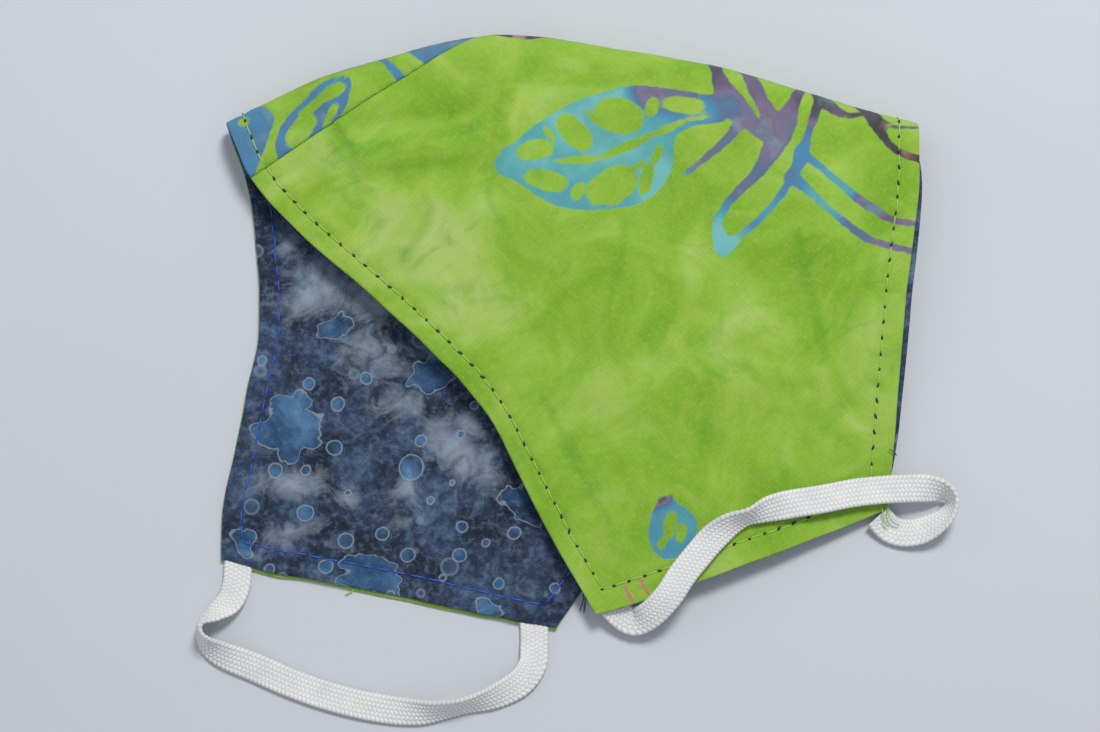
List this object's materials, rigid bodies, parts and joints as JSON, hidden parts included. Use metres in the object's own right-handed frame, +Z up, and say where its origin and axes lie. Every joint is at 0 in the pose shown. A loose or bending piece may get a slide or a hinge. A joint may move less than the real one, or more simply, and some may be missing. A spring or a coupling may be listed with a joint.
{
  "type": "cloth face mask",
  "caption": "Reversible cloth face mask with a curved centre seam and flat elastic ear loops, folded on its side with the lining part shown.",
  "frame": {"origin": "centre of the folded cloth's outline in plan, on the surface that it lies on", "axes": "+X along the folded mask toward its right edge, +Y toward the bend at the top of the outline, +Z up, out of the surface"},
  "size_m": [0.1763, 0.1618, 0.0132],
  "materials": {
    "outer_cotton": "plain-weave cotton, wax-resist dyed lime green",
    "lining_cotton": "plain-weave cotton, wax-resist dyed navy and grey-blue",
    "elastic": "flat braided white elastic"
  },
  "bodies": {
    "root": {"outer_front_half": "outer_cotton", "outer_back_half": "outer_cotton", "lining_front_half": "lining_cotton", "lining_back_half": "lining_cotton", "ear_loop_front": "elastic", "ear_loop_back": "elastic"}
  },
  "joints": []
}
